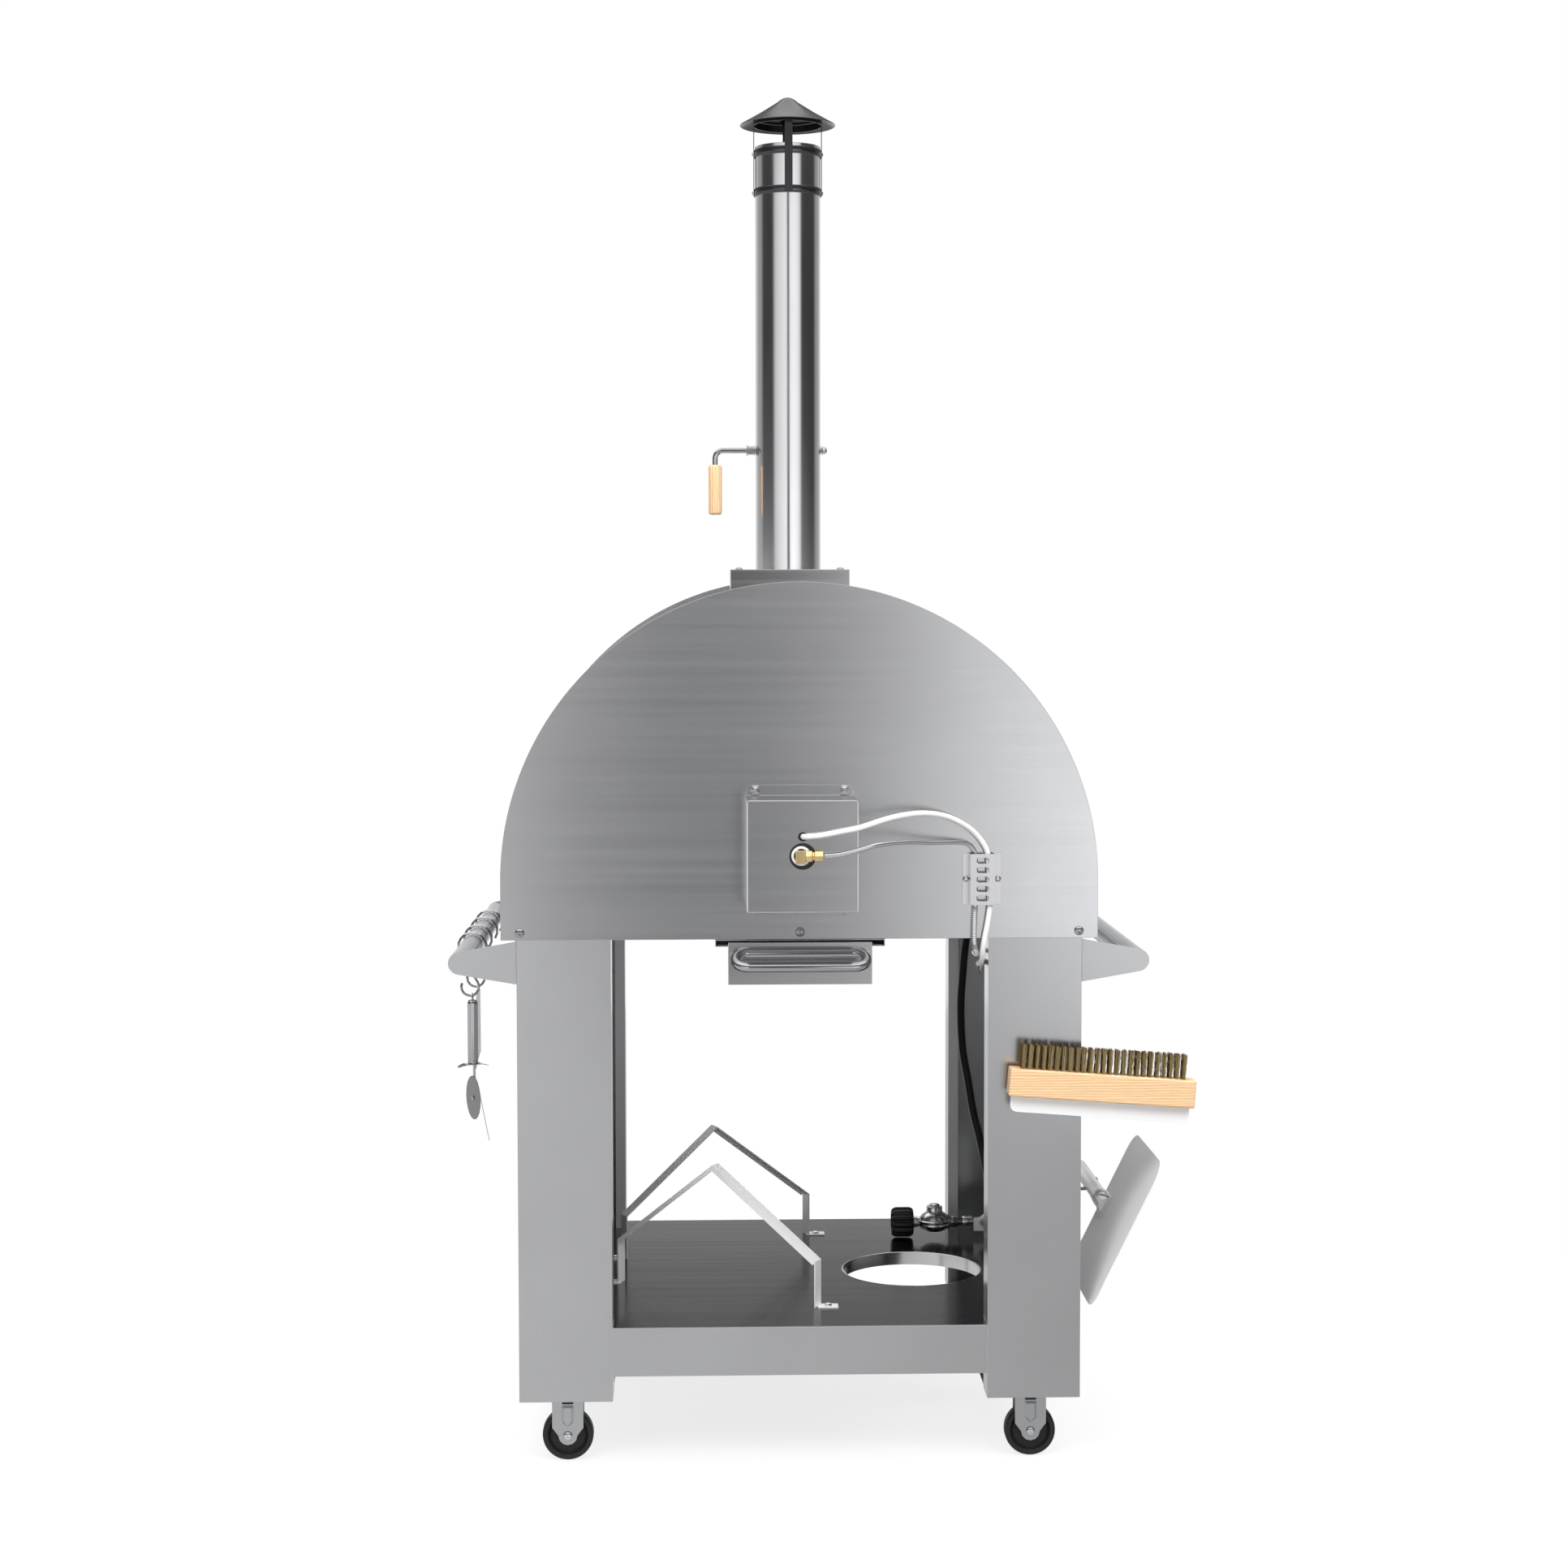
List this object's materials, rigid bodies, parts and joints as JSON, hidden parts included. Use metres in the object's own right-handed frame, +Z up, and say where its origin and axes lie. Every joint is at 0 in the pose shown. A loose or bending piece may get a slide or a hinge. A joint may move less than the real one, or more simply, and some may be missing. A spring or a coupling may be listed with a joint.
{
  "type": "dual-fuel pizza oven",
  "caption": "Barrel-vaulted steel pizza oven on a wheeled cart, with a tall capped flue, rear gas burner, ash drawer, side rails, bottle shelf, wood racks and hanging tools.",
  "frame": {"origin": "under the middle of the whole object, at the height where the four wheels stand", "axes": "+Z up along the flue, -Y out of the oven's mouth, +Y out of the back with the burner cover and the drawer, +X to the rail with the hooks"},
  "size_m": [1.0895, 0.895, 2.0803],
  "materials": {
    "beech": "pale waxed wood",
    "black_coating": "black heat-proof coating",
    "black_plastic": "black moulded plastic",
    "black_tyre": "black moulded wheel",
    "brass": "turned brass",
    "bristle_wire": "brass-coloured wire",
    "brushed_steel": "fine brushed stainless steel",
    "ceramic_fibre": "white insulating fibre",
    "fire_stone": "rough cordierite",
    "flue_steel": "bright steel, brushed round the pipe",
    "gauge_steel": "steel case with a plain dial",
    "hose_rubber": "black rubber",
    "polished_steel": "polished stainless steel",
    "satin_steel": "satin steel",
    "shelf_steel": "dark bright-rolled steel",
    "white_sleeve": "white woven sleeve",
    "zinc_plate": "dull zinc plate"
  },
  "bodies": {
    "oven": {"side_frame_left": "brushed_steel", "side_frame_right": "brushed_steel", "caster_fork_rear_left": "zinc_plate", "caster_fork_rear_right": "zinc_plate", "lower_shelf": "shelf_steel", "wood_rack_rear": "satin_steel", "wood_rack_front": "satin_steel", "side_rail_left": "satin_steel", "side_rail_right": "satin_steel", "oven_base": "brushed_steel", "outer_vault": "brushed_steel", "rear_panel": "brushed_steel", "front_fascia": "brushed_steel", "insulation": "ceramic_fibre", "inner_vault": "satin_steel", "hearth_stone": "fire_stone", "burner_tube": "satin_steel", "burner_cover": "brushed_steel", "gas_elbow": "brass", "cable_guard": "satin_steel", "flue_collar": "brushed_steel", "flue_pipe": "flue_steel", "rain_cap": "black_coating", "damper_spring": "satin_steel", "drawer_carrier": "zinc_plate", "control_panel": "satin_steel", "regulator": "satin_steel", "gas_hose": "hose_rubber", "igniter_cable": "white_sleeve", "gas_line": "satin_steel", "rail_hook_1": "polished_steel", "rail_hook_2": "polished_steel", "rail_hook_3": "polished_steel", "rail_hook_4": "polished_steel", "brush_head": "beech", "brush_bristles": "bristle_wire", "brush_scraper": "satin_steel", "brush_handle": "beech", "peel_blade": "satin_steel", "peel_handle": "beech", "tool_hanger": "black_coating"},
    "drawer": {"ash_drawer": "brushed_steel", "drawer_handle": "polished_steel"},
    "damper": {"damper": "satin_steel", "damper_grip": "beech"},
    "door": {"door": "brushed_steel", "door_handle": "polished_steel", "thermometer": "gauge_steel"},
    "knob": {"control_knob": "black_plastic"},
    "igniter": {"igniter_button": "black_plastic"},
    "handwheel": {"regulator_handwheel": "black_plastic"},
    "cutter": {"cutter_handle": "polished_steel"},
    "cutter_wheel": {"cutter_wheel": "satin_steel"},
    "server": {"server": "satin_steel"},
    "swivel_left": {"caster_fork_front_left": "zinc_plate"},
    "swivel_right": {"caster_fork_front_right": "zinc_plate"},
    "wheel_front_left": {"caster_wheel_front_left": "black_tyre"},
    "wheel_front_right": {"caster_wheel_front_right": "black_tyre"},
    "wheel_rear_left": {"caster_wheel_rear_left": "black_tyre"},
    "wheel_rear_right": {"caster_wheel_rear_right": "black_tyre"}
  },
  "joints": [
    {"name": "drawer_slide", "type": "slide", "parent": "oven", "child": "drawer", "axis": [0, 1, 0], "range_m": [0, 0.3]},
    {"name": "damper_turn", "type": "hinge", "parent": "oven", "child": "damper", "pos_m": [0.02586, -0.22395, 1.511], "axis": [1, 0, 0], "range_deg": [0, 90]},
    {"name": "door_slide", "type": "slide", "parent": "oven", "child": "door", "axis": [0, -1, 0], "range_m": [0, 0.2]},
    {"name": "knob_turn", "type": "hinge", "parent": "oven", "child": "knob", "pos_m": [-0.31564, -0.39325, 0.712], "axis": [0, 1, 0], "range_deg": [0, 180]},
    {"name": "igniter_press", "type": "slide", "parent": "oven", "child": "igniter", "axis": [0, 1, 0], "range_m": [0, 0.004], "stiffness_N_per_m": 700, "springref_m": -0.002},
    {"name": "handwheel_turn", "type": "hinge", "parent": "oven", "child": "handwheel", "pos_m": [-0.14564, -0.24395, 0.2316], "axis": [1, 0, 0], "continuous": true},
    {"name": "cutter_swing", "type": "hinge", "parent": "oven", "child": "cutter", "pos_m": [0.51836, 0.08905, 0.66296], "axis": [1, 0, 0], "range_deg": [-8, 8]},
    {"name": "cutter_spin", "type": "hinge", "parent": "cutter", "child": "cutter_wheel", "pos_m": [0.51836, 0.08905, 0.50576], "axis": [0.9135, 0.4067, 0], "continuous": true},
    {"name": "server_swing", "type": "hinge", "parent": "oven", "child": "server", "pos_m": [0.51836, -0.01095, 0.66296], "axis": [1, 0, 0], "range_deg": [-8, 8]},
    {"name": "swivel_left_turn", "type": "hinge", "parent": "oven", "child": "swivel_left", "pos_m": [0.36686, -0.33395, 0.0955], "axis": [0, 0, 1], "continuous": true},
    {"name": "wheel_front_left_roll", "type": "hinge", "parent": "swivel_left", "child": "wheel_front_left", "pos_m": [0.34486, -0.33395, 0.0375], "axis": [0, 1, 0], "continuous": true},
    {"name": "wheel_rear_left_roll", "type": "hinge", "parent": "oven", "child": "wheel_rear_left", "pos_m": [0.36686, 0.26205, 0.0375], "axis": [0, 1, 0], "continuous": true},
    {"name": "swivel_right_turn", "type": "hinge", "parent": "oven", "child": "swivel_right", "pos_m": [-0.31514, -0.33395, 0.0955], "axis": [0, 0, 1], "continuous": true},
    {"name": "wheel_front_right_roll", "type": "hinge", "parent": "swivel_right", "child": "wheel_front_right", "pos_m": [-0.33714, -0.33395, 0.0375], "axis": [0, 1, 0], "continuous": true},
    {"name": "wheel_rear_right_roll", "type": "hinge", "parent": "oven", "child": "wheel_rear_right", "pos_m": [-0.31514, 0.26205, 0.0375], "axis": [0, 1, 0], "continuous": true}
  ]
}
